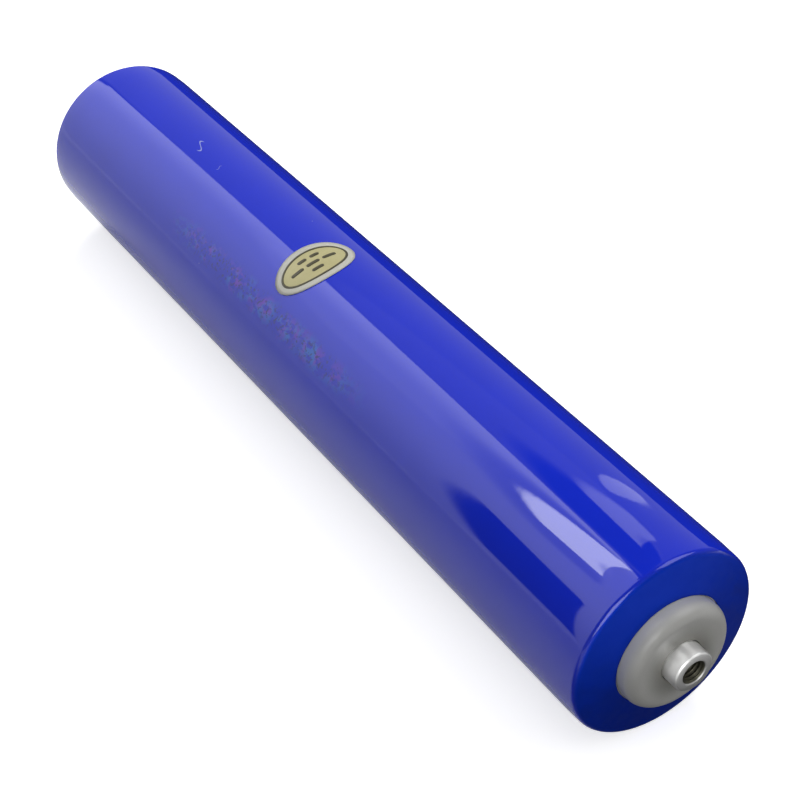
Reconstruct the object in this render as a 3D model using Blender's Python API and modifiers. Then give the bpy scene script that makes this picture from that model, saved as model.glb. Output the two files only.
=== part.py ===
"""A cylindrical lithium iron phosphate cell with a threaded terminal at each end.

The cell lies along Y: the positive terminal points to -Y and the negative one to +Y. The origin is the
middle of the cell, on its axis. Lengths are metres, and +Z is up.

Each end is built facing +Z in its own frame, where height 0 is the end face of the sleeve. Heights above 0
stand out of the cell and heights below 0 are inside it. place_on_end() then turns it to its end of the cell.
"""

import math

import bmesh
import bpy

# Driving dimensions
CELL_RADIUS = 0.025
BODY_LENGTH = 0.265
DISC_RADIUS = 0.0142
POST_RADIUS = 0.0052
POST_HEIGHT = 0.0098

HALF_BODY = BODY_LENGTH / 2
GAP = 0.0002

# Outer sleeve
SLEEVE_WALL = 0.0003
SLEEVE_CORNER = 0.0016
LIP_RADIUS = DISC_RADIUS + 0.0002
END_CROWN = 0.0014

# Metal case
CAN_RADIUS = CELL_RADIUS - SLEEVE_WALL - GAP
CAN_WALL = 0.0008
CAN_BORE = CAN_RADIUS - CAN_WALL
LID_TOP = -SLEEVE_WALL - GAP
LID_LAND = LID_TOP + END_CROWN
LAND_RADIUS = DISC_RADIUS + 0.0004
LID_CHAMFER = 0.0006
FLANGE_UNDERSIDE = LID_TOP - 0.001
CAN_END = FLANGE_UNDERSIDE - GAP
LID_PLUG_RADIUS = CAN_BORE - GAP
LID_UNDERSIDE = LID_TOP - 0.0035
LID_HOLE = 0.0069

# Moulded insulator round the post
DISC_BASE = LID_LAND + GAP
DISC_TAPER = 0.0001
DISC_SHOULDER = 0.0027
DISC_CROWN = 0.0057
DISC_DISH = 0.0055
NECK_RADIUS = LID_HOLE - 0.0003
NECK_END = LID_UNDERSIDE + 0.0001
POST_HOLE = POST_RADIUS + GAP

# Terminal post and its M6 thread
POST_CHAMFER = 0.0004
POST_FLANGE_RADIUS = 0.011
POST_FLANGE_TOP = LID_UNDERSIDE - 0.0030
POST_FLANGE_UNDERSIDE = POST_FLANGE_TOP - 0.003
THREAD_MAJOR = 0.0030
THREAD_MINOR = 0.0025
THREAD_ROOT = 0.0023
THREAD_PITCH = 0.001
THREAD_TURNS = 7
DRILL_DEPTH = 0.010
DRILL_POINT = 0.0012
COUNTERSINK_RADIUS = 0.0033

# Seal ring and inner gasket
SEAL_RADIUS = 0.00695
SEAL_THICKNESS = 0.0013
GASKET_RADIUS = 0.0155
GASKET_HOLE = 0.0086
GASKET_TOP = LID_UNDERSIDE - 0.0003
GASKET_UNDERSIDE = LID_UNDERSIDE - 0.002
GASKET_SEAT = POST_FLANGE_TOP + GAP
SKIRT_INNER = POST_FLANGE_RADIUS + 0.0004
SKIRT_OUTER = SKIRT_INNER + 0.0014

# Fill port and safety vent, both through the lid at this distance from the axis
PORT_OFFSET = 0.0187
FILL_HOLE = 0.0015
FILL_HEAD_SEAT = 0.0028
VENT_HOLE = 0.0024
VENT_SEAT = 0.0036
VENT_CROWN = 0.0014
SEAT_DEPTH = 0.001

# Current collector, flexible lead and end ring
LEAD_THICKNESS = 0.0006
LEAD_WIDTH = 0.012
LEAD_HALF_LENGTH = 0.007
LEAD_FOLD = 0.00085
LEAD_TOP = POST_FLANGE_UNDERSIDE - 0.0003 - LEAD_THICKNESS / 2
COLLECTOR_TOP = LEAD_TOP - 4 * LEAD_FOLD - LEAD_THICKNESS / 2 - 0.0003
COLLECTOR_THICKNESS = 0.0012
COLLECTOR_RADIUS = 0.0215
COLLECTOR_HOLE = 0.0042
COLLECTOR_PORT = 0.0022
COLLECTOR_PORT_OFFSET = 0.0135
COLLECTOR_PORTS = 6
RING_OUTER = CAN_BORE - 0.0003
RING_WALL = 0.0013

# Wound electrodes
ROLL_TOP = COLLECTOR_TOP - COLLECTOR_THICKNESS - 0.0003
FOIL_OFFSET = 0.0034
SEPARATOR_INSET = 0.0015
ELECTRODE_THICKNESS = 0.0009
SEPARATOR_THICKNESS = 0.0003
LAYER_GAP = 0.00015
LAYER_STEP = (ELECTRODE_THICKNESS + SEPARATOR_THICKNESS) / 2 + LAYER_GAP
WINDING_PITCH = 4 * LAYER_STEP
WINDING_START = 0.0043
WINDING_TURNS = 5.25
CORE_RADIUS = 0.0036
CORE_WALL = 0.001
WRAP_RADIUS = CAN_BORE - 0.0004
WRAP_WALL = 0.0003
TAPE_RADIUS = 0.02275
TAPE_THICKNESS = 0.0001
TAPE_ANGLE = math.radians(50)
TAPE_LENGTH = 0.18

# Paper inspection label: an oval lying over the top of the sleeve, widest round the cell
LABEL_WIDTH = 0.0238
LABEL_LENGTH = 0.0154
LABEL_THICKNESS = 0.00012
LABEL_LIFT = 0.00005
LABEL_Y = 0.0060
LABEL_TILT = math.radians(-9.0)

# Facets per turn
OUTER_STEPS = 48
INNER_STEPS = 32
RING_STEPS = 24
WINDING_STEPS = 20
ARC_STEPS = 4
LABEL_STEPS = 40

MERGE = 0.00001
POSITIVE, NEGATIVE = -1, 1

BLUE = ("sleeve_film", (0.010, 0.020, 0.420), 0.20, 0.0)
GREY = ("moulded_grey", (0.380, 0.385, 0.385), 0.45, 0.0)
CREAM = ("label_paper", (0.780, 0.740, 0.500), 0.50, 0.0)
ALUMINIUM = ("aluminium", (0.720, 0.720, 0.730), 0.35, 1.0)
NICKEL = ("nickel_plate", (0.660, 0.650, 0.620), 0.25, 1.0)
COPPER = ("copper", (0.720, 0.350, 0.220), 0.35, 1.0)
RUBBER = ("seal_rubber", (0.020, 0.020, 0.020), 0.70, 0.0)
WHITE = ("white_polymer", (0.800, 0.800, 0.780), 0.50, 0.0)
CATHODE = ("cathode_coat", (0.030, 0.030, 0.032), 0.80, 0.0)
ANODE = ("anode_coat", (0.055, 0.055, 0.060), 0.80, 0.0)
SEPARATOR = ("separator_film", (0.850, 0.850, 0.860), 0.45, 0.0)
TAPE = ("tape_film", (0.050, 0.300, 0.120), 0.35, 0.0)


def clear_scene():
    for obj in list(bpy.data.objects):
        bpy.data.objects.remove(obj, do_unlink=True)


def make_collection(name):
    collection = bpy.data.collections.new(name)
    bpy.context.scene.collection.children.link(collection)
    return collection


def material(spec):
    name, colour, roughness, metallic = spec
    found = bpy.data.materials.get(name)
    if found:
        return found
    made = bpy.data.materials.new(name)
    made.use_nodes = True
    shader = made.node_tree.nodes["Principled BSDF"]
    shader.inputs["Base Color"].default_value = (*colour, 1.0)
    shader.inputs["Roughness"].default_value = roughness
    shader.inputs["Metallic"].default_value = metallic
    return made


def add_object(name, mesh, spec):
    obj = bpy.data.objects.new(name, mesh)
    mesh.materials.append(material(spec))
    CELL.objects.link(obj)
    return obj


def add_cutter(name, mesh):
    obj = bpy.data.objects.new(name, mesh)
    obj.hide_render = True
    obj.display_type = "WIRE"
    CUTTERS.objects.link(obj)
    return obj


def cut(target, cutter, operation="DIFFERENCE"):
    boolean = target.modifiers.new(cutter.name, "BOOLEAN")
    boolean.operation = operation
    boolean.solver = "EXACT"
    boolean.object = cutter


def place_on_end(obj, side):
    """Turns +Z to point out of the cell on that side, and moves height 0 to the sleeve's end face."""
    obj.rotation_euler = (-side * math.pi / 2, 0, 0)
    obj.location = (0, side * HALF_BODY, 0)


def lay_along_cell(obj):
    """Turns a piece built along Z so that it lies along the cell, with its top at the positive end."""
    obj.rotation_euler = (math.pi / 2, 0, 0)


def wire_mesh(name, points, closed):
    mesh = bpy.data.meshes.new(name)
    edges = [(i, i + 1) for i in range(len(points) - 1)]
    if closed:
        edges.append((len(points) - 1, 0))
    mesh.from_pydata(points, edges, [])
    return mesh


def add_screw(obj, steps, offset=0.0, iterations=1):
    screw = obj.modifiers.new("turn", "SCREW")
    screw.axis = "Z"
    screw.steps = steps
    screw.render_steps = steps
    screw.screw_offset = offset
    screw.iterations = iterations
    screw.use_merge_vertices = True
    screw.merge_threshold = MERGE
    screw.use_smooth_shade = True


def turned(name, profile, spec, steps=INNER_STEPS, closed=True):
    """A turned piece. The profile is (radius, height) points that run down its outer side."""
    points = [(radius, 0, height) for radius, height in profile]
    obj = add_object(name, wire_mesh(name, points, closed), spec)
    add_screw(obj, steps)
    return obj


def ring(name, inner, outer, top, bottom, spec, steps=INNER_STEPS):
    return turned(name, [(outer, top), (outer, bottom), (inner, bottom), (inner, top)], spec, steps)


def arc(centre, radius, start, end, steps=ARC_STEPS):
    """Points on a circular arc in the profile plane, from one angle to another, in degrees."""
    angles = [math.radians(start + (end - start) * i / steps) for i in range(steps + 1)]
    return [(centre[0] + radius * math.cos(a), centre[1] + radius * math.sin(a)) for a in angles]


def ribbon(name, path, low, high, thickness, spec):
    """A sheet that follows a path in the XY plane, stands from low to high in Z, and has a thickness."""
    mesh = bpy.data.meshes.new(name)
    shape = bmesh.new()
    line = [shape.verts.new((x, y, low)) for x, y in path]
    edges = [shape.edges.new(pair) for pair in zip(line, line[1:])]
    raised = bmesh.ops.extrude_edge_only(shape, edges=edges)["geom"]
    bmesh.ops.translate(
        shape, vec=(0, 0, high - low), verts=[v for v in raised if isinstance(v, bmesh.types.BMVert)]
    )
    bmesh.ops.recalc_face_normals(shape, faces=shape.faces)
    shape.to_mesh(mesh)
    shape.free()
    obj = add_object(name, mesh, spec)
    shell = obj.modifiers.new("thickness", "SOLIDIFY")
    shell.thickness = thickness
    shell.offset = 0
    shell.use_even_offset = True
    return obj


def closed_mesh(obj):
    """The object's final shape as a plain mesh, with seams welded and ends capped. Removes the object."""
    graph = bpy.context.evaluated_depsgraph_get()
    mesh = bpy.data.meshes.new_from_object(obj.evaluated_get(graph))
    bpy.data.objects.remove(obj)
    shape = bmesh.new()
    shape.from_mesh(mesh)
    bmesh.ops.remove_doubles(shape, verts=shape.verts, dist=MERGE)
    rims = [edge for edge in shape.edges if edge.is_boundary]
    bmesh.ops.holes_fill(shape, edges=rims, sides=0)
    bmesh.ops.triangulate(shape, faces=[face for face in shape.faces if len(face.verts) > 4])
    bmesh.ops.recalc_face_normals(shape, faces=shape.faces)
    shape.to_mesh(mesh)
    shape.free()
    return mesh


def cylinders_mesh(name, centres, radius, top, bottom, segments):
    """One mesh of equal upright cylinders, used as a cutter."""
    mesh = bpy.data.meshes.new(name)
    shape = bmesh.new()
    for x, y in centres:
        made = bmesh.ops.create_cone(
            shape,
            cap_ends=True,
            segments=segments,
            radius1=radius,
            radius2=radius,
            depth=top - bottom,
        )
        bmesh.ops.translate(shape, vec=(x, y, (top + bottom) / 2), verts=made["verts"])
    shape.to_mesh(mesh)
    shape.free()
    return mesh


def drill(target, name, centres, radius, top, bottom, segments=16):
    cutter = add_cutter(name, cylinders_mesh(name, centres, radius, top, bottom, segments))
    cutter.rotation_euler = target.rotation_euler
    cutter.location = target.location
    cut(target, cutter)


def add_sleeve():
    """Shrink sleeve: a tube whose ends fold in over the crowned lids as far as the grey discs."""
    corner = CELL_RADIUS - SLEEVE_CORNER
    edge = HALF_BODY - SLEEVE_CORNER
    top = [(LIP_RADIUS, HALF_BODY + END_CROWN)] + arc((corner, edge), SLEEVE_CORNER, 90, 0)
    profile = top + [(radius, -height) for radius, height in reversed(top)]
    sleeve = turned("sleeve", profile, BLUE, OUTER_STEPS, closed=False)
    shell = sleeve.modifiers.new("wall", "SOLIDIFY")
    shell.thickness = SLEEVE_WALL
    shell.offset = -1
    lay_along_cell(sleeve)


def label_outline():
    """Outline of the label's flat stamp, which makes a true oval on the round sleeve."""
    turns = [2 * math.pi * i / LABEL_STEPS for i in range(LABEL_STEPS)]
    half_angle = LABEL_WIDTH / 2 / CELL_RADIUS
    return [
        (CELL_RADIUS * math.sin(half_angle * math.cos(a)), LABEL_LENGTH / 2 * math.sin(a)) for a in turns
    ]


def add_label():
    """Paper label: the piece of a thin tube round the sleeve that lies inside the oval."""
    inner = CELL_RADIUS + LABEL_LIFT
    outer = inner + LABEL_THICKNESS
    label = ring("label", inner, outer, LABEL_LENGTH, -LABEL_LENGTH, CREAM, 2 * OUTER_STEPS)
    lay_along_cell(label)
    label.location.y = LABEL_Y

    outline = bpy.data.curves.new("label_outline", "CURVE")
    outline.dimensions = "2D"
    outline.fill_mode = "BOTH"
    outline.extrude = CELL_RADIUS / 2
    spline = outline.splines.new("POLY")
    points = label_outline()
    spline.points.add(len(points) - 1)
    for point, (x, y) in zip(spline.points, points):
        point.co = (x, y, 0, 1)
    spline.use_cyclic_u = True
    flat = bpy.data.objects.new("label_outline", outline)
    CUTTERS.objects.link(flat)
    stamp = add_cutter("label_stamp", closed_mesh(flat))
    stamp.rotation_euler = (0, LABEL_TILT, 0)
    stamp.location = (
        CELL_RADIUS * math.sin(LABEL_TILT),
        LABEL_Y,
        CELL_RADIUS * math.cos(LABEL_TILT),
    )
    cut(label, stamp, "INTERSECT")


def add_can():
    half = HALF_BODY + CAN_END
    can = ring("can", CAN_BORE, CAN_RADIUS, half, -half, ALUMINIUM, OUTER_STEPS)
    lay_along_cell(can)


def add_lid(side, name, hole, seat):
    """Welded lid: a crowned flange over the can's end, a plug inside it, and a counterbored port."""
    profile = [
        (LID_HOLE, LID_LAND),
        (LAND_RADIUS, LID_LAND),
        (CAN_RADIUS - LID_CHAMFER, LID_TOP),
        (CAN_RADIUS, LID_TOP - LID_CHAMFER),
        (CAN_RADIUS, FLANGE_UNDERSIDE),
        (LID_PLUG_RADIUS, FLANGE_UNDERSIDE),
        (LID_PLUG_RADIUS, LID_UNDERSIDE),
        (LID_HOLE, LID_UNDERSIDE),
    ]
    lid = turned(name, profile, ALUMINIUM)
    place_on_end(lid, side)
    above = LID_LAND + 0.001
    drill(lid, name + "_port_cutter", [(PORT_OFFSET, 0)], hole, above, LID_UNDERSIDE - 0.001)
    drill(lid, name + "_seat_cutter", [(PORT_OFFSET, 0)], seat, above, LID_TOP - SEAT_DEPTH)


def add_disc(side, name):
    """Grey insulator: a round-shouldered disc, slightly dished, with a neck that lines the lid's hole."""
    fillet = DISC_CROWN - DISC_SHOULDER
    shoulder = arc((DISC_RADIUS - DISC_TAPER - fillet, DISC_SHOULDER), fillet, 90, 0)
    profile = [
        (POST_HOLE, DISC_DISH),
        *shoulder,
        (DISC_RADIUS, DISC_BASE),
        (NECK_RADIUS, DISC_BASE),
        (NECK_RADIUS, NECK_END),
        (POST_HOLE, NECK_END),
    ]
    place_on_end(turned(name, profile, GREY), side)


def thread_cutter(name):
    """A tap: one pitch of thread, wound upwards. Both of its ends are then capped."""
    half_pitch = THREAD_PITCH / 2
    start = POST_HEIGHT - THREAD_PITCH * (THREAD_TURNS + 0.3)
    points = [
        (THREAD_ROOT, 0, start + THREAD_PITCH),
        (THREAD_MAJOR, 0, start + half_pitch),
        (THREAD_ROOT, 0, start),
    ]
    tap = bpy.data.objects.new(name, wire_mesh(name, points, False))
    CUTTERS.objects.link(tap)
    add_screw(tap, RING_STEPS, offset=THREAD_PITCH, iterations=THREAD_TURNS)
    return add_cutter(name, closed_mesh(tap))


def add_terminal(side, name, spec):
    """Terminal post with an inner flange, and a blind M6 hole drilled, tapped and countersunk."""
    drill_end = POST_HEIGHT - DRILL_DEPTH
    mouth = COUNTERSINK_RADIUS - THREAD_MINOR
    profile = [
        (0, drill_end - DRILL_POINT),
        (THREAD_MINOR, drill_end),
        (THREAD_MINOR, POST_HEIGHT - mouth),
        (COUNTERSINK_RADIUS, POST_HEIGHT),
        (POST_RADIUS - POST_CHAMFER, POST_HEIGHT),
        (POST_RADIUS, POST_HEIGHT - POST_CHAMFER),
        (POST_RADIUS, POST_FLANGE_TOP),
        (POST_FLANGE_RADIUS, POST_FLANGE_TOP),
        (POST_FLANGE_RADIUS, POST_FLANGE_UNDERSIDE),
        (0, POST_FLANGE_UNDERSIDE),
    ]
    post = turned(name, profile, spec, RING_STEPS, closed=False)
    place_on_end(post, side)
    tap = thread_cutter(name + "_tap")
    place_on_end(tap, side)
    cut(post, tap)


def add_seal(side, name):
    height = (LID_UNDERSIDE + POST_FLANGE_TOP) / 2
    section = arc((SEAL_RADIUS, height), SEAL_THICKNESS, 90, -270, 8)[:-1]
    place_on_end(turned(name, section, RUBBER, RING_STEPS), side)


def add_gasket(side, name):
    """Inner gasket: a washer under the lid with a skirt round the post's flange."""
    profile = [
        (GASKET_HOLE, GASKET_TOP),
        (GASKET_RADIUS, GASKET_TOP),
        (GASKET_RADIUS, GASKET_UNDERSIDE),
        (SKIRT_OUTER, GASKET_UNDERSIDE),
        (SKIRT_OUTER, POST_FLANGE_UNDERSIDE),
        (SKIRT_INNER, POST_FLANGE_UNDERSIDE),
        (SKIRT_INNER, GASKET_SEAT),
        (GASKET_HOLE, GASKET_SEAT),
    ]
    place_on_end(turned(name, profile, WHITE), side)


def port_piece(side, name, profile):
    """A small turned piece that sits in the lid's port, beside the cell's axis."""
    piece = turned(name, profile, ALUMINIUM, RING_STEPS, closed=False)
    place_on_end(piece, side)
    piece.location.x = PORT_OFFSET


def add_fill_plug():
    head = LID_TOP - 0.0001
    head_underside = LID_TOP - SEAT_DEPTH + GAP
    pin_end = LID_UNDERSIDE + GAP
    profile = [
        (0, head),
        (FILL_HEAD_SEAT - GAP, head),
        (FILL_HEAD_SEAT - GAP, head_underside),
        (FILL_HOLE - GAP, head_underside),
        (FILL_HOLE - GAP, pin_end),
        (0, pin_end),
    ]
    port_piece(POSITIVE, "fill_plug", profile)


def add_vent_disc():
    """Burst disc: a thin dished plate, thinnest where its crown meets the rim."""
    seat = LID_TOP - SEAT_DEPTH + GAP
    rim = VENT_SEAT - GAP
    profile = [
        (0, seat - 0.0001),
        (VENT_CROWN, seat),
        (VENT_HOLE - GAP, seat + 0.0002),
        (rim, seat + 0.0004),
        (rim, seat),
        (VENT_HOLE - GAP, seat),
        (VENT_CROWN, seat - 0.0003),
        (0, seat - 0.0004),
    ]
    port_piece(NEGATIVE, "vent_disc", profile)


def add_lead(side, name, spec):
    """Flexible lead: a foil strap folded twice between the post and the current collector."""
    right = arc((LEAD_HALF_LENGTH, LEAD_TOP - LEAD_FOLD), LEAD_FOLD, 90, -90)
    left = arc((-LEAD_HALF_LENGTH, LEAD_TOP - 3 * LEAD_FOLD), LEAD_FOLD, 90, 270)
    path = [
        (-LEAD_HALF_LENGTH, LEAD_TOP),
        *right,
        *left,
        (LEAD_HALF_LENGTH, LEAD_TOP - 4 * LEAD_FOLD),
    ]
    lead = ribbon(name, path, -LEAD_WIDTH / 2, LEAD_WIDTH / 2, LEAD_THICKNESS, spec)
    stand = math.pi / 2 - side * math.pi / 2
    lead.rotation_euler = (stand, 0, 0)
    lead.location = (0, side * HALF_BODY, 0)


def add_collector(side, name, spec):
    """Current collector: a disc welded to the bare foil edges, with holes that let electrolyte through."""
    bottom = COLLECTOR_TOP - COLLECTOR_THICKNESS
    disc = ring(name, COLLECTOR_HOLE, COLLECTOR_RADIUS, COLLECTOR_TOP, bottom, spec)
    place_on_end(disc, side)
    angles = [2 * math.pi * i / COLLECTOR_PORTS for i in range(COLLECTOR_PORTS)]
    centres = [
        (COLLECTOR_PORT_OFFSET * math.cos(a), COLLECTOR_PORT_OFFSET * math.sin(a)) for a in angles
    ]
    cutter = name + "_port_cutter"
    drill(disc, cutter, centres, COLLECTOR_PORT, COLLECTOR_TOP + 0.001, bottom - 0.001, 12)


def add_end_ring(side, name):
    """Plastic ring that keeps the collector off the can and holds the winding away from the lid."""
    bottom = COLLECTOR_TOP - COLLECTOR_THICKNESS - 0.0001
    inner = RING_OUTER - RING_WALL
    end_ring = ring(name, inner, RING_OUTER, GASKET_TOP, bottom, WHITE, OUTER_STEPS)
    place_on_end(end_ring, side)


def spiral(start_radius):
    """Points along a winding that grows by one pitch each turn."""
    count = round(WINDING_TURNS * WINDING_STEPS)
    angles = [2 * math.pi * i / WINDING_STEPS for i in range(count + 1)]
    return [
        (
            (start_radius + WINDING_PITCH * a / (2 * math.pi)) * math.cos(a),
            (start_radius + WINDING_PITCH * a / (2 * math.pi)) * math.sin(a),
        )
        for a in angles
    ]


def add_winding():
    """Cathode, anode and two separators, wound together in step. Each foil reaches out at its own end."""
    near = HALF_BODY + ROLL_TOP
    far = near - FOIL_OFFSET
    middle = near - SEPARATOR_INSET
    layers = [
        ("cathode_sheet", -far, near, ELECTRODE_THICKNESS, CATHODE),
        ("inner_separator", -middle, middle, SEPARATOR_THICKNESS, SEPARATOR),
        ("anode_sheet", -near, far, ELECTRODE_THICKNESS, ANODE),
        ("outer_separator", -middle, middle, SEPARATOR_THICKNESS, SEPARATOR),
    ]
    for order, (name, low, high, thickness, spec) in enumerate(layers):
        path = spiral(WINDING_START + order * LAYER_STEP)
        lay_along_cell(ribbon(name, path, low, high, thickness, spec))


def add_winding_supports():
    near = HALF_BODY + ROLL_TOP
    core = ring("core_tube", CORE_RADIUS - CORE_WALL, CORE_RADIUS, near, -near, WHITE, RING_STEPS)
    lay_along_cell(core)
    wrap = ring("winding_wrap", WRAP_RADIUS - WRAP_WALL, WRAP_RADIUS, near, -near, TAPE, OUTER_STEPS)
    lay_along_cell(wrap)
    strip = arc((0, 0), TAPE_RADIUS, 90, 90 + math.degrees(TAPE_ANGLE), 6)
    tape = ribbon("closing_tape", strip, -TAPE_LENGTH / 2, TAPE_LENGTH / 2, TAPE_THICKNESS, TAPE)
    lay_along_cell(tape)


def add_end(side, pole, metal, foil):
    add_disc(side, pole + "_insulator")
    add_terminal(side, pole + "_terminal", metal)
    add_seal(side, pole + "_seal_ring")
    add_gasket(side, pole + "_gasket")
    add_lead(side, pole + "_lead", foil)
    add_collector(side, pole + "_collector", foil)
    add_end_ring(side, pole + "_end_ring")


clear_scene()
CELL = make_collection("cylindrical_cell")
CUTTERS = make_collection("cutters")
add_sleeve()
add_label()
add_can()
add_lid(POSITIVE, "positive_lid", FILL_HOLE, FILL_HEAD_SEAT)
add_lid(NEGATIVE, "negative_lid", VENT_HOLE, VENT_SEAT)
add_end(POSITIVE, "positive", ALUMINIUM, ALUMINIUM)
add_end(NEGATIVE, "negative", NICKEL, COPPER)
add_fill_plug()
add_vent_disc()
add_winding()
add_winding_supports()
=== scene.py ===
"""The looks of a cylindrical battery cell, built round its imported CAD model.

The cell lies along Y on a pale floor. Its sleeve, label, insulators and terminals are built again here as
fine meshes on the CAD's own sizes. The pieces inside the can stay as the CAD has them and get a finish here.
Lengths are metres. An angle round the cell is measured from straight up (+Z) towards +X.
"""

import math

import bmesh
import bpy
from mathutils import Matrix, Vector, noise


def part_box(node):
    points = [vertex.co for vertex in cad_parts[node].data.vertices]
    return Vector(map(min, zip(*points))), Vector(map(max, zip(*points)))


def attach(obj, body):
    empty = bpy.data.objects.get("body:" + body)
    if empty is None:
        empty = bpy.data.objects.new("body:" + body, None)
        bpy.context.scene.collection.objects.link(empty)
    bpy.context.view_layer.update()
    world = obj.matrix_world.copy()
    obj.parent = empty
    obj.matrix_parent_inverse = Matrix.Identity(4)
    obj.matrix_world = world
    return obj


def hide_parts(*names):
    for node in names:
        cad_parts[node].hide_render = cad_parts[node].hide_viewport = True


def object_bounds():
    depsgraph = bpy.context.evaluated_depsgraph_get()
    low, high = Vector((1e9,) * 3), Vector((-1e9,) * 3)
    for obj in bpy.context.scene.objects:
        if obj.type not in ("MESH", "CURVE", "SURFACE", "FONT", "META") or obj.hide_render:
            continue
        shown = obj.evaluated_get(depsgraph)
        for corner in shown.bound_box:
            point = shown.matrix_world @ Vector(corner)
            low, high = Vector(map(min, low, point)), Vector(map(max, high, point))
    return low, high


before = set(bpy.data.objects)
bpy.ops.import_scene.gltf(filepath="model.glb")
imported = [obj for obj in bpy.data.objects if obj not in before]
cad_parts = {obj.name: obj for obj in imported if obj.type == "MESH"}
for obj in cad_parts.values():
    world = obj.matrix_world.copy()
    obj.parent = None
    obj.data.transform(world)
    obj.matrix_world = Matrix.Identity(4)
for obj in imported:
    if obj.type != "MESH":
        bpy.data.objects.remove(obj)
cad_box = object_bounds()

MM = 0.001


# ------------------------------------------------------------------ sizes, read from the CAD model


def cad_points(node):
    """(distance from the cell's axis, distance from the cell's middle) of each point of a CAD node."""
    return [(math.hypot(v.co.x, v.co.z), abs(v.co.y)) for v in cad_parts[node].data.vertices]


def reach(node, beyond=0.0):
    """How far from the cell's middle a node reaches, among its points beyond a distance from the axis."""
    return max(y for distance, y in cad_points(node) if distance > beyond)


def start(node, beyond=0.0):
    """How near the cell's middle a node comes, among its points beyond a distance from the axis."""
    return min(y for distance, y in cad_points(node) if distance > beyond)


def widest(node, past=0.0):
    """A node's largest distance from the axis, among its points past a distance from the cell's middle."""
    return max(distance for distance, y in cad_points(node) if y > past)


def narrowest(node, past=0.0):
    """A node's smallest distance from the axis, among its points past a distance from the cell's middle."""
    return min(distance for distance, y in cad_points(node) if y > past)


TINY = 0.01 * MM

SLEEVE_RADIUS = widest("sleeve")
SLEEVE_WALL = 0.3 * MM
SLEEVE_TIP = reach("sleeve")
SLEEVE_STRAIGHT = reach("sleeve", SLEEVE_RADIUS - TINY)
LIP_RADIUS = narrowest("sleeve", SLEEVE_TIP - TINY)
SLEEVE_RIM = reach("sleeve", (SLEEVE_RADIUS + LIP_RADIUS) / 2)
SLEEVE_CORNER = SLEEVE_RIM - SLEEVE_STRAIGHT

DISC_RADIUS = widest("positive_insulator")
DISC_BASE = start("positive_insulator", DISC_RADIUS - TINY)
DISC_FACE = reach("positive_insulator")
DISC_HOLE = narrowest("positive_insulator")
DISC_DISH = 0.2 * MM
DISC_FILLET = 3.0 * MM
DISC_TAPER = 0.1 * MM
NECK_RADIUS = DISC_RADIUS - 7.6 * MM
NECK_END = start("positive_insulator")

POST_TIP = reach("positive_terminal")
POST_RADIUS = widest("positive_terminal", SLEEVE_TIP)
POST_CHAMFER = 0.4 * MM
POST_EDGE = 0.08 * MM
FLANGE_RADIUS = widest("positive_terminal")
FLANGE_TOP = reach("positive_terminal", FLANGE_RADIUS - TINY)
FLANGE_END = start("positive_terminal", FLANGE_RADIUS - TINY)
BORE_MOUTH = narrowest("positive_terminal", POST_TIP - TINY)
BORE_RADIUS = 2.5 * MM
BORE_DEPTH = 10 * MM
BORE_POINT = 1.2 * MM
THREAD_RADIUS = 3 * MM
THREAD_PITCH = 1 * MM
THREAD_DEPTH = 7 * MM
THREAD_WIDTH = 0.875
THREAD_FLAT = 1.14

LABEL_ANGLES = [math.atan2(v.co.x, v.co.z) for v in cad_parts["label"].data.vertices]
LABEL_MIDDLE = (min(LABEL_ANGLES) + max(LABEL_ANGLES)) / 2
LABEL_HALF_WIDTH = (max(LABEL_ANGLES) - min(LABEL_ANGLES)) / 2 * SLEEVE_RADIUS
LABEL_Y = (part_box("label")[0].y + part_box("label")[1].y) / 2
LABEL_HALF_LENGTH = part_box("label")[1].y - LABEL_Y
LABEL_INNER = narrowest("label")
LABEL_OUTER = widest("label")
RING_INSET = 1.9 * MM
RING_WIDTH = 0.7 * MM
BAR_WIDTH = 1.2 * MM
INK = 0.012 * MM


# ------------------------------------------------------------------ mesh building


SHARP_EDGE = math.radians(35)


def finished(name, shape):
    """Turns a bmesh into an object, shaded smooth except at sharp edges."""
    mesh = bpy.data.meshes.new(name)
    shape.to_mesh(mesh)
    shape.free()
    mesh.shade_smooth()
    mesh.set_sharp_from_angle(angle=SHARP_EDGE)
    obj = bpy.data.objects.new(name, mesh)
    bpy.context.scene.collection.objects.link(obj)
    return obj


def revolve(name, outline, steps, moved=None, closed=True):
    """A turned mesh round the Y axis, from an outline of (distance from the axis, y) points.

    A point on the axis becomes a single vertex. moved(angle, distance, y) can shift each point.
    """
    shape = bmesh.new()
    rows = []
    for distance, y in outline:
        if distance < TINY:
            rows.append([shape.verts.new((0, y, 0))] * steps)
            continue
        row = []
        for i in range(steps):
            angle = 2 * math.pi * i / steps
            r, along = moved(angle, distance, y) if moved else (distance, y)
            row.append(shape.verts.new((r * math.sin(angle), along, r * math.cos(angle))))
        rows.append(row)
    pairs = list(zip(rows, rows[1:]))
    if closed:
        pairs.append((rows[-1], rows[0]))
    for near, far in pairs:
        for i in range(steps):
            j = (i + 1) % steps
            corners = dict.fromkeys([near[i], far[i], far[j], near[j]])
            shape.faces.new(list(corners))
    bmesh.ops.recalc_face_normals(shape, faces=shape.faces)
    return finished(name, shape)


def arc(centre, radius, begin, end, steps):
    """Points on a circular arc from one angle to another, in degrees."""
    turn = [math.radians(begin + (end - begin) * i / steps) for i in range(steps + 1)]
    return [(centre[0] + radius * math.cos(a), centre[1] + radius * math.sin(a)) for a in turn]


def line(first, last, steps):
    """Evenly spaced points between two points, without the last one."""
    shares = [i / steps for i in range(steps)]
    return [tuple(a + (b - a) * share for a, b in zip(first, last)) for share in shares]


def front_end(outline):
    """Puts an outline given by distances from the cell's middle at the front end, which points to -Y."""
    return [(distance, -y) for distance, y in outline]


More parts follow.
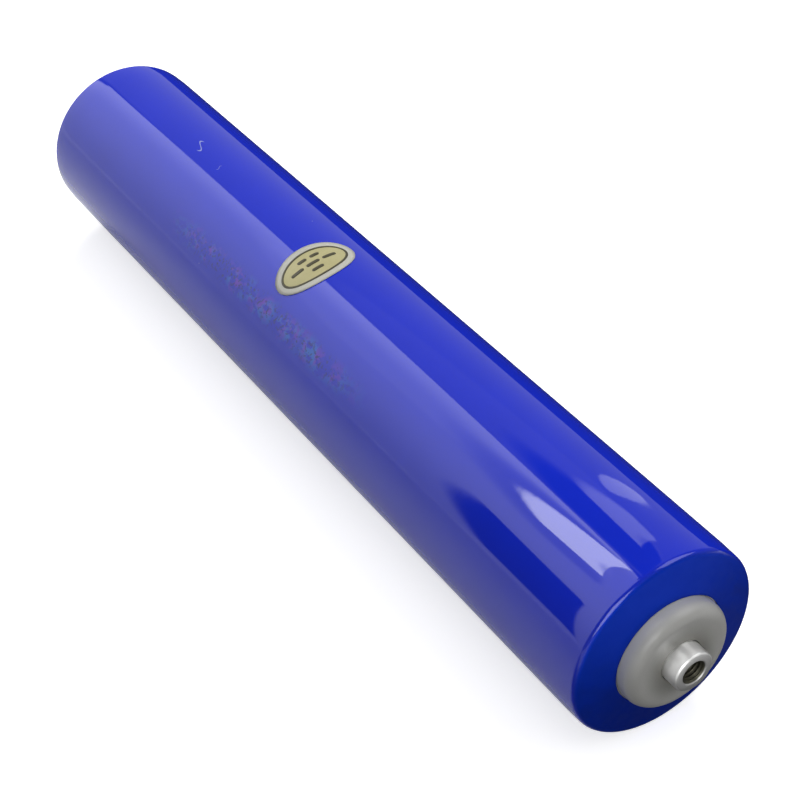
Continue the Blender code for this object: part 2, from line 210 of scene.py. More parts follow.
def ramp(value, low, high):
    """A smooth step from 0 at low to 1 at high."""
    share = min(1, max(0, (value - low) / (high - low)))
    return share * share * (3 - 2 * share)


def turn_round(obj):
    """Turns a piece built at the front end round to the rear end."""
    obj.data.transform(Matrix.Rotation(math.pi, 4, "Z"))


def on_cell(x, y, radius):
    """A point of the label's flat drawing, measured from its middle, wrapped round the cell at a radius."""
    angle = LABEL_MIDDLE + x / SLEEVE_RADIUS
    return (radius * math.sin(angle), LABEL_Y + y, radius * math.cos(angle))


def join_rings(shape, outer, inner):
    """Faces between two rings of the same number of points."""
    for i in range(len(outer)):
        j = (i + 1) % len(outer)
        shape.faces.new((outer[i], outer[j], inner[j], inner[i]))


def outward(shape):
    """Turns every face of a sheet on the cell's upper side to point away from the cell."""
    for face in shape.faces:
        face.normal_update()
        if face.normal.z < 0:
            face.normal_flip()
    return shape


def add_thickness(obj, thickness):
    """Makes a sheet a closed solid by growing it along its normals."""
    shell = obj.modifiers.new("thickness", "SOLIDIFY")
    shell.thickness = thickness
    shell.offset = 1


# ------------------------------------------------------------------ shapes


SLEEVE_STEPS = 288
FILM_STEPS = 120
WAVE_HEIGHT = 0.035 * MM
RIPPLE_HEIGHT = 0.012 * MM
RIPPLED_LENGTH = 28 * MM
TURNED_IN = 0.15 * MM
TURNED_LENGTH = 6 * MM
FOLD_SINK = 0.05 * MM
LIP_WIDTH = 3 * MM


def round_noise(angle, bumps, level):
    """Noise that meets itself after a full turn. More bumps make it finer."""
    return noise.noise(Vector((bumps * math.sin(angle), bumps * math.cos(angle), level)))


def film_wave(angle, y):
    """How far the shrunk film lies inside its full radius: long shallow waves, and ripples by the ends."""
    slow = WAVE_HEIGHT * (1 + round_noise(angle, 1.3, y / 0.055))
    near_end = ramp(abs(y), SLEEVE_RIM - RIPPLED_LENGTH, SLEEVE_RIM)
    ripple = near_end * RIPPLE_HEIGHT * (1 + round_noise(angle, 7, y / 0.05))
    turned_in = TURNED_IN * ramp(abs(y), SLEEVE_RIM - TURNED_LENGTH, SLEEVE_STRAIGHT)
    return slow + ripple + turned_in


def lip_wander(angle, end):
    """The cut lip of the film isn't a true circle."""
    return 0.22 * MM * round_noise(angle, 1.4, 7.0 * end) + 0.07 * MM * round_noise(angle, 4.5, 3.0 * end)


def film_point(angle, distance, y):
    """Moves a point of the true sleeve to where the film lies."""
    end = math.copysign(1, y)
    over_end = 1 - ramp(distance, LIP_RADIUS, SLEEVE_RADIUS - SLEEVE_CORNER)
    to_lip = 1 - ramp(distance, LIP_RADIUS, LIP_RADIUS + LIP_WIDTH)
    inward = film_wave(angle, y) * ramp(distance, LIP_RADIUS, SLEEVE_RADIUS)
    sunk = FOLD_SINK * over_end * (1 + round_noise(angle, 5, 2.0 * end)) * (1 - to_lip)
    return distance - inward + lip_wander(angle, end) * to_lip, y - end * sunk


def add_sleeve():
    """The blue film: an outer skin and an inner skin, joined at a rounded lip at each end."""
    corner = (SLEEVE_RADIUS - SLEEVE_CORNER, SLEEVE_STRAIGHT)
    lip = SLEEVE_WALL / 2
    lip_centre = (LIP_RADIUS + lip, SLEEVE_TIP - lip)
    rim = (SLEEVE_RADIUS - SLEEVE_CORNER, SLEEVE_RIM)
    outer = arc(lip_centre, lip, 180, 90, 4)
    outer += line(outer[-1], rim, 14)[1:]
    outer += arc(corner, SLEEVE_CORNER, 90, 0, 8)
    inner_rim = (rim[0], rim[1] - SLEEVE_WALL)
    inner_lip = (LIP_RADIUS + lip, SLEEVE_TIP - SLEEVE_WALL)
    inner = line(inner_lip, inner_rim, 5)
    inner += arc(corner, SLEEVE_CORNER - SLEEVE_WALL, 90, 0, 4)
    bore = SLEEVE_RADIUS - SLEEVE_WALL
    straight = line((SLEEVE_RADIUS, SLEEVE_STRAIGHT), (SLEEVE_RADIUS, -SLEEVE_STRAIGHT), FILM_STEPS)[1:]
    inside = line((bore, -SLEEVE_STRAIGHT), (bore, SLEEVE_STRAIGHT), FILM_STEPS // 3)[1:]
    outline = outer + straight + [(d, -y) for d, y in reversed(outer)]
    outline += [(d, -y) for d, y in inner] + inside + list(reversed(inner))
    return revolve("sleeve_film", outline, SLEEVE_STEPS, film_point)


DISC_STEPS = 128
DISC_SINK = 0.03 * MM
DISH_STEPS = 9
HOLE_BEVEL = 0.15 * MM


def disc_point(angle, distance, y):
    """The moulding has shrunk a little unevenly."""
    return distance, y + DISC_SINK * round_noise(angle, 1.5, distance / (4 * MM))


def add_insulator(name):
    """Grey moulding: a slightly dished face, a round shoulder, a low wall and the neck in the lid's hole."""
    shoulder_y = DISC_FACE - DISC_FILLET
    shoulder_r = DISC_RADIUS - DISC_TAPER - DISC_FILLET
    dish_y = DISC_FACE - DISC_DISH
    outline = [(DISC_HOLE, dish_y - HOLE_BEVEL), (DISC_HOLE + HOLE_BEVEL, dish_y)]
    for i in range(1, DISH_STEPS):
        share = i / DISH_STEPS
        outline.append((DISC_HOLE + (shoulder_r - DISC_HOLE) * share, dish_y + DISC_DISH * share ** 1.6))
    outline += arc((shoulder_r, shoulder_y), DISC_FILLET, 90, 0, 10)
    outline += line((DISC_RADIUS - DISC_TAPER, shoulder_y), (DISC_RADIUS, DISC_BASE), 4)[1:]
    outline += [
        (DISC_RADIUS, DISC_BASE),
        (NECK_RADIUS, DISC_BASE),
        (NECK_RADIUS, NECK_END),
        (DISC_HOLE, NECK_END),
    ]
    return revolve(name, front_end(outline), DISC_STEPS, disc_point)


POST_STEPS = 96
THREAD_STEPS = 112


def bore_radius(angle, y):
    """Radius of the threaded hole at a place: drilled, tapped with a V thread and countersunk.

    The V takes THREAD_WIDTH of each pitch, and its point is cut flat by THREAD_FLAT.
    """
    depth = POST_TIP - abs(y)
    phase = (depth / THREAD_PITCH - angle / (2 * math.pi)) % 1
    groove = max(0, 1 - abs(phase - 0.5) * 2 / THREAD_WIDTH)
    fade = 1 - ramp(depth, THREAD_DEPTH - THREAD_PITCH, THREAD_DEPTH)
    tapped = BORE_RADIUS + (THREAD_RADIUS - BORE_RADIUS) * min(1, groove * THREAD_FLAT) * fade
    return max(tapped, BORE_MOUTH - depth)


def terminal_point(angle, distance, y):
    """Leaves the outside as it is and cuts the thread into the hole."""
    in_bore = distance <= BORE_RADIUS + TINY and abs(y) > POST_TIP - BORE_DEPTH - TINY
    return (bore_radius(angle, y), y) if in_bore else (distance, y)


def add_terminal(name):
    """Metal post with its inner flange and its blind threaded hole."""
    bore_end = POST_TIP - BORE_DEPTH
    thread_end = POST_TIP - THREAD_DEPTH
    outline = [(0, bore_end - BORE_POINT)]
    outline += line((BORE_RADIUS, bore_end), (BORE_RADIUS, thread_end), 4)
    outline += line((BORE_RADIUS, thread_end), (BORE_RADIUS, POST_TIP - TINY), THREAD_STEPS)
    outline += [
        (BORE_MOUTH + TINY, POST_TIP),
        (POST_RADIUS - POST_CHAMFER - POST_EDGE, POST_TIP),
        (POST_RADIUS - POST_CHAMFER + POST_EDGE / 2, POST_TIP - POST_EDGE),
        (POST_RADIUS - POST_EDGE, POST_TIP - POST_CHAMFER + POST_EDGE / 2),
        (POST_RADIUS, POST_TIP - POST_CHAMFER - POST_EDGE),
        (POST_RADIUS, FLANGE_TOP),
        (FLANGE_RADIUS, FLANGE_TOP),
        (FLANGE_RADIUS, FLANGE_END),
        (0, FLANGE_END),
    ]
    return revolve(name, front_end(outline), POST_STEPS, terminal_point, closed=False)


LABEL_STEPS = 96
LABEL_RINGS = 12
BAR_STEPS = 12


def oval(inset):
    """Points round the label at an inset from its edge."""
    width, length = LABEL_HALF_WIDTH - inset, LABEL_HALF_LENGTH - inset
    turns = [2 * math.pi * i / LABEL_STEPS for i in range(LABEL_STEPS)]
    return [(width * math.cos(a), length * math.sin(a)) for a in turns]


def add_label():
    """Oval paper label, wrapped round the sleeve: rings of faces that shrink towards its middle."""
    shape = bmesh.new()
    rows = []
    for i in range(LABEL_RINGS):
        share = 1 - i / LABEL_RINGS
        rows.append([shape.verts.new(on_cell(x * share, y * share, LABEL_INNER)) for x, y in oval(0)])
    for outer, inner in zip(rows, rows[1:]):
        join_rings(shape, outer, inner)
    shape.faces.new(rows[-1])
    label = finished("label_paper", outward(shape))
    add_thickness(label, LABEL_OUTER - LABEL_INNER)
    return label


def add_print(name, bands):
    """Ink on the label: each band lies between two outlines, as a thin raised skin."""
    shape = bmesh.new()
    for outer, inner in bands:
        rows = [[shape.verts.new(on_cell(x, y, LABEL_OUTER)) for x, y in row] for row in (outer, inner)]
        join_rings(shape, *rows)
    bmesh.ops.remove_doubles(shape, verts=shape.verts, dist=TINY / 10)
    ink = finished(name, outward(shape))
    add_thickness(ink, INK)
    return ink


def bar(x, y, length):
    """A round-ended bar, as the band between its outline and its own centre line."""
    radius = BAR_WIDTH / 2
    straight = length / 2 - radius
    outline = arc((straight, 0), radius, -90, 90, 8)
    outline += line((straight, radius), (-straight, radius), BAR_STEPS)[1:]
    outline += arc((-straight, 0), radius, 90, 270, 8)
    outline += line((-straight, -radius), (straight, -radius), BAR_STEPS)[1:]
    outer = [(x + across, y + up) for across, up in outline]
    inner = [(x + min(straight, max(-straight, across)), y) for across, up in outline]
    return outer, inner


def add_label_print():
    """A line round the label, inside its edge, and three rows of plain bars in place of wording."""
    bands = [(oval(RING_INSET), oval(RING_INSET + RING_WIDTH))]
    rows = [  # height on the label, middles of the bars, length of a bar
        (2.8 * MM, [-1.9 * MM, 1.9 * MM], 2.8 * MM),
        (0.2 * MM, [-4.9 * MM, 0, 4.9 * MM], 4.0 * MM),
        (-2.4 * MM, [0], 3.6 * MM),
    ]
    for y, middles, length in rows:
        bands += [bar(x, y, length) for x in middles]
    return add_print("label_print", bands)


# ------------------------------------------------------------------ materials


class Nodes:
    """Short calls that build one node tree. A value may be a number, a colour or a node's output."""

    def __init__(self, tree):
        self.tree = tree

    def feed(self, socket, value):
        if isinstance(value, bpy.types.NodeSocket):
            self.tree.links.new(value, socket)
        else:
            socket.default_value = value

    def add(self, kind, inputs, **settings):
        node = self.tree.nodes.new("ShaderNode" + kind)
        for key, value in settings.items():
            setattr(node, key, value)
        for key, value in inputs.items():
            self.feed(node.inputs[key], value)
        return node

    def math(self, operation, first, second=0.0):
        return self.add("Math", {0: first, 1: second}, operation=operation).outputs[0]

    def step(self, value, low, high, start=0.0, end=1.0):
        """A smooth step from start at low to end at high."""
        inputs = {"Value": value, "From Min": low, "From Max": high, "To Min": start, "To Max": end}
        return self.add("MapRange", inputs, interpolation_type="SMOOTHSTEP").outputs[0]

    def near(self, value, middle, inner, outer, start=1.0):
        """start within inner of a middle value, and 0 from outer on."""
        away = self.math("ABSOLUTE", self.math("SUBTRACT", value, middle))
        return self.step(away, inner, outer, start, 0.0)

    def product(self, first, *others):
        """All the values multiplied together."""
        for other in others:
            first = self.math("MULTIPLY", first, other)
        return first

    def square(self, value):
        return self.math("MULTIPLY", value, value)

    def mix(self, share, first, second):
        """A colour between two colours."""
        node = self.add("Mix", {0: share, 6: first, 7: second}, data_type="RGBA")
        return node.outputs[2]

    def blend(self, share, first, second):
        """A number between two numbers."""
        return self.add("Mix", {0: share, 2: first, 3: second}, data_type="FLOAT").outputs[0]

    def place(self, stretch=(1, 1, 1)):
        """Coordinates in the cell's frame, in metres, stretched."""
        where = self.add("TexCoord", {}).outputs["Object"]
        return self.add("Mapping", {"Vector": where, "Scale": stretch}).outputs[0]

    def axes(self):
        """X, Y and Z in the cell's frame, in metres."""
        return self.add("SeparateXYZ", {0: self.place()}).outputs

    def turn(self, where):
        """Angle round the cell, in radians."""
        return self.math("ARCTAN2", where["X"], where["Z"])

    def noise(self, size, detail=2.0, stretch=(1, 1, 1)):
        """Noise whose patches are about a size in metres."""
        inputs = {"Vector": self.place(stretch), "Scale": 1 / size, "Detail": detail}
        return self.add("TexNoise", inputs).outputs["Fac"]

    def from_axis(self):
        """Distance from the cell's axis."""
        where = self.axes()
        return self.math("SQRT", self.math("ADD", self.square(where["X"]), self.square(where["Z"])))

    def bump(self, height, depth, under=None):
        inputs = {"Height": height, "Distance": depth, "Strength": 1.0}
        if under is not None:
            inputs["Normal"] = under
        return self.add("Bump", inputs).outputs[0]


def rgba(colour):
    return (*colour, 1.0)


def tinted(colour, share):
    return rgba(tuple(min(1.0, c * share) for c in colour))


def new_material(name):
    made = bpy.data.materials.new(name)
    made.use_nodes = True
    nodes = Nodes(made.node_tree)
    return made, nodes, made.node_tree.nodes["Principled BSDF"].inputs


def plain_finish(
    name, colour, roughness, metallic=0.0, grain=0.4 * MM, depth=0.01 * MM, stretch=(1, 1, 1)
):
    """A surface with fine grain, a little mottling and uneven gloss."""
    made, nodes, shader = new_material(name)
    mottle = nodes.noise(6 * MM, 4.0)
    fine = nodes.noise(grain, 3.0, stretch)
    colours = nodes.mix(mottle, tinted(colour, 0.86), tinted(colour, 1.12))
    colours = nodes.mix(nodes.product(fine, 0.3), colours, tinted(colour, 0.7))
    nodes.feed(shader["Base Color"], colours)
    nodes.feed(shader["Roughness"], nodes.step(fine, 0.25, 0.75, roughness * 0.85, roughness * 1.15))
    nodes.feed(shader["Metallic"], metallic)
    nodes.feed(shader["Normal"], nodes.bump(fine, depth))
    return made


BLUE = (0.002, 0.016, 0.450)
END_BLUE = (0.002, 0.030, 0.430)
PIT_BLUE = (0.001, 0.008, 0.100)
PURPLE_SHEEN = (0.110, 0.025, 0.420)
CYAN_SHEEN = (0.010, 0.110, 0.480)
SCRATCH_BLUE = (0.30, 0.34, 0.60)
DUST_BLUE = (0.30, 0.34, 0.50)
DUST_SPACING = 9 * MM
STREAK_TURN = -49.0
STREAK_Y = 10 * MM


def add_rubbed_streak(nodes, colour, degrees, along):
    """Mixes in a rubbed, iridescent streak with dark specks, on the left of the label."""
    across_streak = nodes.near(degrees, STREAK_TURN, 1.0, 11.0)
    along_streak = nodes.near(along, STREAK_Y, 25 * MM, 55 * MM)
    streak = nodes.product(across_streak, along_streak)
    clump = nodes.step(nodes.noise(9 * MM, 2.0), 0.34, 0.54)
    blotch = nodes.step(nodes.noise(1.8 * MM, 4.0, (1, 0.6, 1)), 0.40, 0.54, 0.0, 0.9)
    hue = nodes.step(nodes.noise(5 * MM, 3.0), 0.38, 0.54)
    sheen = nodes.mix(hue, rgba(PURPLE_SHEEN), rgba(CYAN_SHEEN))
    colour = nodes.mix(nodes.product(streak, clump, blotch), colour, sheen)
    pit = nodes.step(nodes.noise(0.9 * MM, 2.0), 0.56, 0.62, 0.0, 0.85)
    return nodes.mix(nodes.product(streak, pit), colour, rgba(PIT_BLUE))


def add_scratch(nodes, colour, degrees, along, middle, reach):
    """Mixes in a small pale S-shaped scratch. Its middle and reach are (degrees round, metres along)."""
    turn = nodes.math("DIVIDE", nodes.math("SUBTRACT", degrees, middle[0]), reach[0])
    shift = nodes.math("DIVIDE", nodes.math("SUBTRACT", along, middle[1]), reach[1])
    bend = nodes.math("SINE", nodes.math("MULTIPLY", turn, 2.6))
    on_line = nodes.near(shift, bend, 0.06, 0.18, 0.9)
    within = nodes.near(turn, 0.0, 0.85, 1.0)
    return nodes.mix(nodes.product(on_line, within), colour, rgba(SCRATCH_BLUE))


def add_dust(nodes, colour):
    """Mixes in sparse pale specks."""
    spots = nodes.add("TexVoronoi", {"Vector": nodes.place(), "Scale": 1 / DUST_SPACING})
    speck = nodes.step(spots.outputs["Distance"], 0.010, 0.022, 0.6, 0.0)
    return nodes.mix(speck, colour, rgba(DUST_BLUE))


def film_finish():
    """Blue shrink film: a deep colour under a clear gloss. Stretched over the ends, it looks metallic."""
    made, nodes, shader = new_material("blue_film")
    where = nodes.axes()
    degrees = nodes.math("MULTIPLY", nodes.turn(where), math.degrees(1))
    mottle = nodes.noise(14 * MM, 3.0)
    colour = nodes.mix(mottle, tinted(BLUE, 0.93), tinted(BLUE, 1.07))
    colour = add_rubbed_streak(nodes, colour, degrees, where["Y"])
    colour = add_scratch(nodes, colour, degrees, where["Y"], (-0.5, 75.5 * MM), (4.5, 2.2 * MM))
    colour = add_scratch(nodes, colour, degrees, where["Y"], (-3.5, 62 * MM), (2.5, 0.5 * MM))
    colour = add_dust(nodes, colour)

    along = nodes.math("ABSOLUTE", where["Y"])
    over_end = nodes.step(along, SLEEVE_RIM - 0.6 * SLEEVE_CORNER, SLEEVE_RIM)
    past_rim_line = nodes.step(along, SLEEVE_RIM - 0.55 * MM, SLEEVE_RIM - 0.15 * MM)
    nodes.feed(shader["Base Color"], nodes.mix(over_end, colour, rgba(END_BLUE)))
    nodes.feed(shader["Metallic"], nodes.blend(over_end, 0.05, 0.80))
    nodes.feed(shader["Roughness"], nodes.step(nodes.noise(3 * MM, 3.0), 0.3, 0.7, 0.42, 0.52))
    nodes.feed(shader["Specular IOR Level"], 0.0)
    nodes.feed(shader["Coat Weight"], nodes.blend(past_rim_line, 1.0, 0.04))
    nodes.feed(shader["Coat Roughness"], nodes.step(nodes.noise(20 * MM, 4.0), 0.35, 0.75, 0.02, 0.05))
    peel = nodes.bump(nodes.noise(2.5 * MM, 2.0), 0.0015 * MM)
    drawn = nodes.bump(nodes.noise(0.5 * MM, 2.0, (1, 0.03, 1)), 0.0004 * MM, peel)
    nodes.feed(shader["Normal"], drawn)
    nodes.feed(shader["Coat Normal"], drawn)
    return made


def moulded_finish():
    """Grey moulded plastic: satin, finely grained, with faint flow marks and painted shade round the post.
    """
    made, nodes, shader = new_material("moulded_plastic")
    flow = nodes.noise(5 * MM, 4.0, (1, 0.4, 1))
    fine = nodes.noise(0.35 * MM, 3.0)
    colour = nodes.mix(flow, rgba((0.400, 0.400, 0.388)), rgba((0.460, 0.460, 0.445)))
    colour = nodes.mix(nodes.product(fine, 0.25), colour, rgba((0.30, 0.30, 0.28)))
    # Painted shade: the colour darkens towards the post.
    painted_post_shade = nodes.step(nodes.from_axis(), POST_RADIUS, DISC_RADIUS - DISC_FILLET, 0.80, 0.0)
    colour = nodes.mix(painted_post_shade, colour, rgba((0.150, 0.148, 0.128)))
    nodes.feed(shader["Base Color"], colour)
    nodes.feed(shader["Roughness"], nodes.step(fine, 0.3, 0.7, 0.28, 0.38))
    nodes.feed(shader["Normal"], nodes.bump(fine, 0.012 * MM, nodes.bump(flow, 0.05 * MM)))
    return made


PAINTED_BORE_SHADE = (0.070, 0.068, 0.050)


def turned_finish(name, colour):
    """Turned metal: fine rings round the axis, a darker faced end, and painted shade in the threaded hole.
    """
    made, nodes, shader = new_material(name)
    outside = nodes.step(nodes.from_axis(), THREAD_RADIUS, BORE_MOUTH)
    along = nodes.math("ABSOLUTE", nodes.axes()["Y"])
    on_end = nodes.step(along, POST_TIP - POST_CHAMFER / 2, POST_TIP - TINY)
    rings = nodes.noise(0.12 * MM, 2.0, (0.02, 1, 0.02))
    wear = nodes.noise(2.2 * MM, 3.0)
    bright = nodes.mix(wear, tinted(colour, 0.90), tinted(colour, 1.08))
    bright = nodes.mix(on_end, bright, tinted(colour, 0.58))
    # Painted shade: inside the threaded hole the colour is dark.
    nodes.feed(shader["Base Color"], nodes.mix(outside, rgba(PAINTED_BORE_SHADE), bright))
    nodes.feed(shader["Metallic"], 1.0)
    gloss = nodes.blend(on_end, nodes.step(wear, 0.35, 0.70, 0.38, 0.46), 0.42)
    nodes.feed(shader["Roughness"], nodes.math("ADD", gloss, nodes.product(rings, 0.06)))
    nodes.feed(shader["Normal"], nodes.bump(rings, 0.002 * MM))
    return made


def paper_finish():
    """Coated label paper: pale border, gold-cream middle, faint fibre and handling marks."""
    made, nodes, shader = new_material("label_stock")
    where = nodes.axes()
    across = nodes.math("SUBTRACT", nodes.turn(where), LABEL_MIDDLE)
    across = nodes.math("DIVIDE", across, (LABEL_HALF_WIDTH - RING_INSET) / SLEEVE_RADIUS)
    along = nodes.math("SUBTRACT", where["Y"], LABEL_Y)
    along = nodes.math("DIVIDE", along, LABEL_HALF_LENGTH - RING_INSET)
    from_middle = nodes.math("ADD", nodes.square(across), nodes.square(along))
    in_border = nodes.step(from_middle, 0.92, 1.0)

    fibre = nodes.noise(0.5 * MM, 4.0)
    stain = nodes.noise(5 * MM, 3.0)
    gold = nodes.mix(stain, rgba((0.350, 0.320, 0.145)), rgba((0.450, 0.415, 0.215)))
    pale = nodes.mix(stain, rgba((0.410, 0.410, 0.370)), rgba((0.490, 0.490, 0.465)))
    colour = nodes.mix(in_border, gold, pale)
    colour = nodes.mix(nodes.product(fibre, 0.30), colour, rgba((0.27, 0.25, 0.15)))
    nodes.feed(shader["Base Color"], colour)
    nodes.feed(shader["Roughness"], nodes.step(fibre, 0.3, 0.7, 0.32, 0.48))
    nodes.feed(shader["Normal"], nodes.bump(fibre, 0.01 * MM))
    return made


def inner_finishes():
    """Finishes for the pieces inside the can, by the name of the CAD material they replace."""
    brushed = {"metallic": 1.0, "grain": 0.3 * MM, "depth": 0.004 * MM, "stretch": (1, 0.05, 1)}
    return {
        "aluminium": plain_finish("drawn_aluminium", (0.80, 0.80, 0.81), 0.32, **brushed),
        "copper": plain_finish("rolled_copper", (0.86, 0.42, 0.28), 0.30, **brushed),
        "seal_rubber": plain_finish("black_rubber", (0.022, 0.022, 0.022), 0.62),
        "white_polymer": plain_finish("natural_polymer", (0.74, 0.74, 0.71), 0.42),
        "cathode_coat": plain_finish("cathode_coating", (0.030, 0.031, 0.033), 0.85, grain=0.12 * MM),
        "anode_coat": plain_finish("anode_coating", (0.050, 0.050, 0.055), 0.78, grain=0.15 * MM),
        "separator_film": plain_finish("separator_membrane", (0.82, 0.82, 0.83), 0.40, grain=0.2 * MM),
        "tape_film": plain_finish("winding_tape", (0.05, 0.28, 0.12), 0.30, grain=0.8 * MM),
    }


# ------------------------------------------------------------------ studio


FLOOR_RADIUS = 6.0
FLOOR_GAP = 0.05 * MM
FLOOR_LIFT = 0.55
FAR_GLOW = 0.55
WHITE = (1.0, 1.0, 1.0)
BLACK = (0.01, 0.01, 0.01)


def floor_finish():
    """Pale paper. The camera sees it lifted to white, and it bounces little light on to the cell.

    Reflections find it dark by the cell's front end, as a painted shadow, and on its right, as a painted
    dark reflection where a second cell would lie. Far off, they find a painted glow, as bright as the foot
    of the room's walls.
    """
    made, nodes, shader = new_material("floor_paper")
    where = nodes.axes()
    paths = nodes.add("LightPath", {}).outputs
    # Painted shadow and reflection: glossy rays find the floor dark on the right, as a painted reflection of
    # a second cell, and by the front end, as a painted shadow.
    painted_neighbour_reflection = nodes.product(nodes.step(where["X"], 0.02, 0.05), nodes.step(where["Y"], -0.18, -0.14))
    painted_end_shadow = nodes.step(where["Y"], -0.20, -0.15, 0.0, 0.85)
    painted_end_shadow = nodes.product(painted_end_shadow, nodes.step(where["Y"], -0.133, -0.128, 1.0, 0.0))
    painted_dark_in_reflections = nodes.math("MAXIMUM", nodes.product(painted_neighbour_reflection, 0.98), painted_end_shadow)
    in_reflection = nodes.product(paths["Is Glossy Ray"], painted_dark_in_reflections)
    dimmed = nodes.math("MAXIMUM", in_reflection, nodes.product(paths["Is Diffuse Ray"], 0.92))
    pale = nodes.mix(nodes.noise(300 * MM, 3.0), rgba((0.78, 0.78, 0.78)), rgba((0.82, 0.82, 0.82)))
    nodes.feed(shader["Base Color"], nodes.mix(dimmed, pale, rgba(BLACK)))
    nodes.feed(shader["Roughness"], 0.9)
    nodes.feed(shader["Specular IOR Level"], 0.0)

    # Painted glow: far off, reflections find the floor glowing, except on the right.
    away = nodes.add("VectorMath", {0: nodes.place()}, operation="LENGTH").outputs["Value"]
    far_off = nodes.step(away, 0.3, 1.6, 0.0, FAR_GLOW)
    painted_far_glow = nodes.product(paths["Is Glossy Ray"], far_off, nodes.math("SUBTRACT", 1.0, painted_neighbour_reflection))
    lift = nodes.product(paths["Is Camera Ray"], FLOOR_LIFT)
    nodes.feed(shader["Emission Color"], rgba(WHITE))
    nodes.feed(shader["Emission Strength"], nodes.math("ADD", lift, painted_far_glow))
    return made


def add_floor():
    shape = bmesh.new()
    bmesh.ops.create_circle(shape, cap_ends=True, segments=96, radius=FLOOR_RADIUS)
    floor = finished("floor", shape)
    floor.location.z = cad_box[0].z - FLOOR_GAP
    floor.data.materials.append(floor_finish())


class Room(Nodes):
    """Nodes that lay bright and dark areas over a room, by direction.

    Azimuth is degrees from +Y towards +X, and elevation is degrees above the floor.
    """

    def __init__(self, tree):
        super().__init__(tree)
        direction = self.add("TexCoord", {}).outputs["Generated"]
        self.direction = self.add("SeparateXYZ", {0: direction}).outputs
        turn = self.math("ARCTAN2", self.direction["X"], self.direction["Y"])
        self.azimuth = self.product(turn, math.degrees(1))
        self.elevation = self.product(self.math("ARCSINE", self.direction["Z"]), math.degrees(1))

    def band(self, value, low, high, soft):
        """1 between two limits and 0 outside them, with soft edges."""
        above = self.step(value, low - soft, low + soft)
        return self.product(above, self.step(value, high - soft, high + soft, 1.0, 0.0))

    def panel(self, light, radiance, across, upwards, soft=1.0, lean=0.0, slant=0.0):
        """Lays a panel over the light so far, between limits of azimuth and of elevation.

        Its top and bottom edges lean with azimuth, and its sides slant with elevation.
        """
        side = self.math("SUBTRACT", self.azimuth, self.product(self.elevation, slant))
        level = self.math("SUBTRACT", self.elevation, self.product(self.azimuth, lean))
        inside = self.product(self.band(side, *across, soft), self.band(level, *upwards, soft))
        return self.blend(inside, light, radiance)

    def left_of_edge(self):
        """1 on the bright wall, up to its bowed right-hand edge."""
        from_middle = self.math("MAXIMUM", self.math("SUBTRACT", self.elevation, 47.0), -14.0)
        bowed = self.math("ADD", self.azimuth, self.product(self.square(from_middle), 0.03))
        above_floor = self.step(self.elevation, -3.0, 0.0)
        return self.product(self.band(bowed, -75, 8.6, 0.8), above_floor)

    def in_lamp(self):
        """1 on a small lamp, bent so that the round film shows it as an oval."""
        height = self.math("SUBTRACT", self.elevation, 19.3)
        lean = self.product(self.elevation, 0.32)
        bulge = self.product(self.square(height), 0.0078)
        side = self.math("ADD", self.math("ADD", self.azimuth, lean), bulge)
        side = self.math("DIVIDE", self.math("SUBTRACT", side, 59.6), 0.75)
        height = self.math("DIVIDE", height, 10.8)
        from_middle = self.math("ADD", self.square(side), self.square(height))
        return self.step(from_middle, 0.8, 1.2, 1.0, 0.0)

    def bright_wall(self):
        """A wall that is brighter upwards, towards its right-hand edge and in one tall area."""
        wall = self.step(self.elevation, -5.0, 40.0, 1.05, 1.9)
        wall = self.product(wall, self.step(self.azimuth, -15.0, 8.0, 1.0, 1.4))
        return self.panel(wall, self.product(wall, 1.12), (-27.5, 9), (42.3, 60), 0.5, 0.19)

    def reflected_light(self):
        """What a reflection sees in each direction."""
        light = self.step(self.elevation, -10.0, 60.0, 0.30, 0.20)
        # On the right: a dim wall, its paler top, the dark above it, a patch of ceiling and a lamp.
        light = self.panel(light, 0.52, (6, 75), (-90, 70))
        light = self.panel(light, 0.64, (6, 47), (47.0, 90), 0.5, -0.32)
        light = self.panel(light, 0.12, (9, 45), (56.5, 90), 1.5, -0.35)
        light = self.panel(light, 2.0, (35, 48.5), (75.5, 80), 0.8, -0.86)
        light = self.blend(self.in_lamp(), light, 2.0)
        # On the left: the bright wall, a narrow strip light in a dimmer surround, and a dark window.
        light = self.blend(self.left_of_edge(), light, self.bright_wall())
        light = self.panel(light, 1.15, (-40, 1), (54.5, 61), 2.2, 0.33)
        light = self.panel(light, 8.0, (-32.5, 1), (57.3, 61.5), 0.4, 0.33)
        light = self.panel(light, 0.10, (-61.5, -53.8), (1.5, 27.5), 0.7, 0.0, 0.25)
        # Towards the camera's side: two panels that only the views from behind see reflected.
        light = self.panel(light, 2.6, (100, 150), (28, 62), 2.0)
        return self.panel(light, 4.0, (-172, -128), (8, 45), 2.0)

    def even_light(self):
        """What lights the cell evenly: brighter overhead and towards the front."""
        overhead = self.step(self.direction["Z"], 0.25, 0.75, 0.04, 1.15)
        return self.product(overhead, self.step(self.direction["Y"], -0.2, 0.4, 1.0, 0.1))


def add_room():
    """A white room. Camera rays see plain white, and diffuse rays an even light without its panels."""
    world = bpy.data.worlds.new("room")
    bpy.context.scene.world = world
    world.use_nodes = True
    room = Room(world.node_tree)
    paths = room.add("LightPath", {}).outputs
    strength = room.blend(paths["Is Diffuse Ray"], room.reflected_light(), room.even_light())
    strength = room.blend(paths["Is Camera Ray"], strength, 1.0)
    background = world.node_tree.nodes["Background"].inputs
    room.feed(background["Color"], rgba(WHITE))
    room.feed(background["Strength"], strength)


KEY_PLACE = Vector((0.80, 0.72, 1.12))
KEY_SIZE = 1.2
KEY_POWER = 16.5


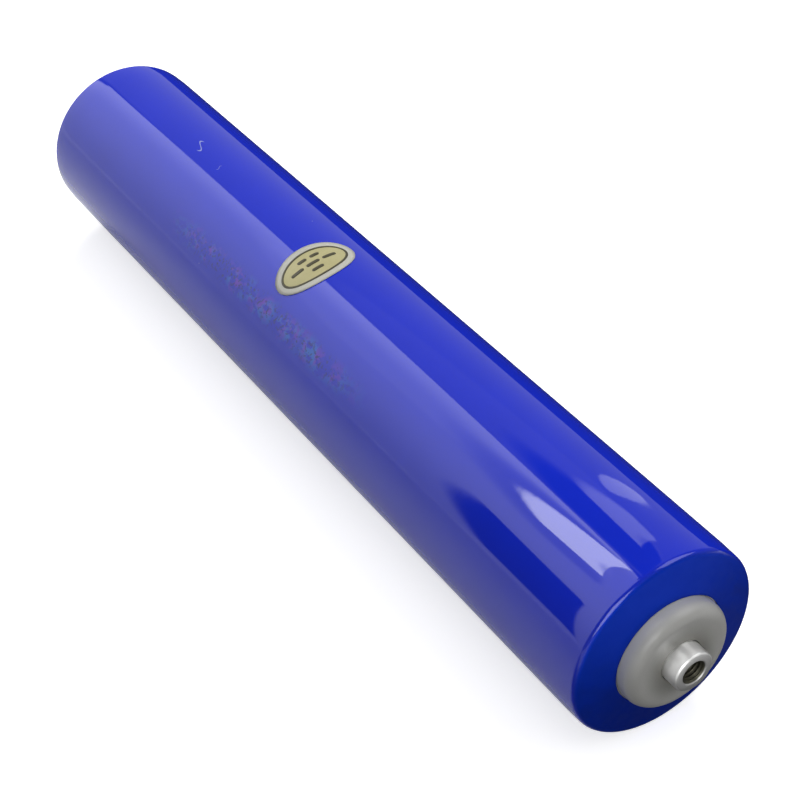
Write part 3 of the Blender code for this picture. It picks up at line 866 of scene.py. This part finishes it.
def add_key_light():
    """A wide soft light, above, behind and to the right. The room makes the highlights, so it makes none."""
    lamp = bpy.data.lights.new("key_light", "AREA")
    lamp.shape = "DISK"
    lamp.size = KEY_SIZE
    lamp.energy = KEY_POWER
    light = bpy.data.objects.new("key_light", lamp)
    bpy.context.scene.collection.objects.link(light)
    light.location = KEY_PLACE
    light.rotation_euler = (-KEY_PLACE).to_track_quat("-Z", "Y").to_euler()
    light.visible_glossy = False
    light.visible_camera = False


CAMERA_PLACE = Vector((-0.17425, -0.32645, 0.2887))
CAMERA_TARGET = Vector((-0.00107, -0.02828, 0.0))
CAMERA_ROLL = -0.07698
SENSOR_WIDTH = 36
LENS = 78.94


def add_camera():
    """Looks down on the positive end from the left, as a product picture does."""
    lens = bpy.data.cameras.new("camera")
    lens.sensor_width = SENSOR_WIDTH
    lens.lens = LENS
    lens.clip_start = 0.01
    camera = bpy.data.objects.new("camera", lens)
    bpy.context.scene.collection.objects.link(camera)
    camera.location = CAMERA_PLACE
    aim = (CAMERA_TARGET - CAMERA_PLACE).to_track_quat("-Z", "Y").to_matrix().to_4x4()
    camera.rotation_euler = (aim @ Matrix.Rotation(CAMERA_ROLL, 4, "Z")).to_euler()
    bpy.context.scene.camera = camera


# ------------------------------------------------------------------ the cell


def dress(piece, material, slot, *nodes):
    """Gives a new piece its material and puts it in the CAD's place."""
    piece.data.materials.append(material)
    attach(piece, "root")
    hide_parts(*nodes)


def add_film_and_label():
    dress(add_sleeve(), film_finish(), "sleeve_film", "sleeve")
    dress(add_label(), paper_finish(), "label_paper", "label")
    ink = plain_finish("dark_ink", (0.045, 0.040, 0.018), 0.40)
    dress(add_label_print(), ink, "label_paper")


def add_ends():
    """An insulator and a terminal at each end. The rear ones are the front ones, turned round."""
    grey = moulded_finish()
    ends = [
        ("positive", "aluminium", (0.84, 0.84, 0.83)),
        ("negative", "nickel_plate", (0.72, 0.70, 0.66)),
    ]
    for pole, slot, colour in ends:
        insulator = add_insulator(pole + "_insulator_moulding")
        terminal = add_terminal(pole + "_terminal_post")
        if pole == "negative":
            turn_round(insulator)
            turn_round(terminal)
        dress(insulator, grey, "moulded_grey", pole + "_insulator")
        dress(terminal, turned_finish("turned_" + slot, colour), slot, pole + "_terminal")


def finish_inside():
    """Gives the pieces inside the can, which stay as the CAD has them, their finishes."""
    finishes = inner_finishes()
    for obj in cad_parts.values():
        for material_slot in obj.material_slots:
            if material_slot.material.name in finishes:
                material_slot.material = finishes[material_slot.material.name]


add_film_and_label()
add_ends()
finish_inside()
add_floor()
add_room()
add_key_light()
add_camera()
bpy.context.scene.view_settings.view_transform = "Standard"
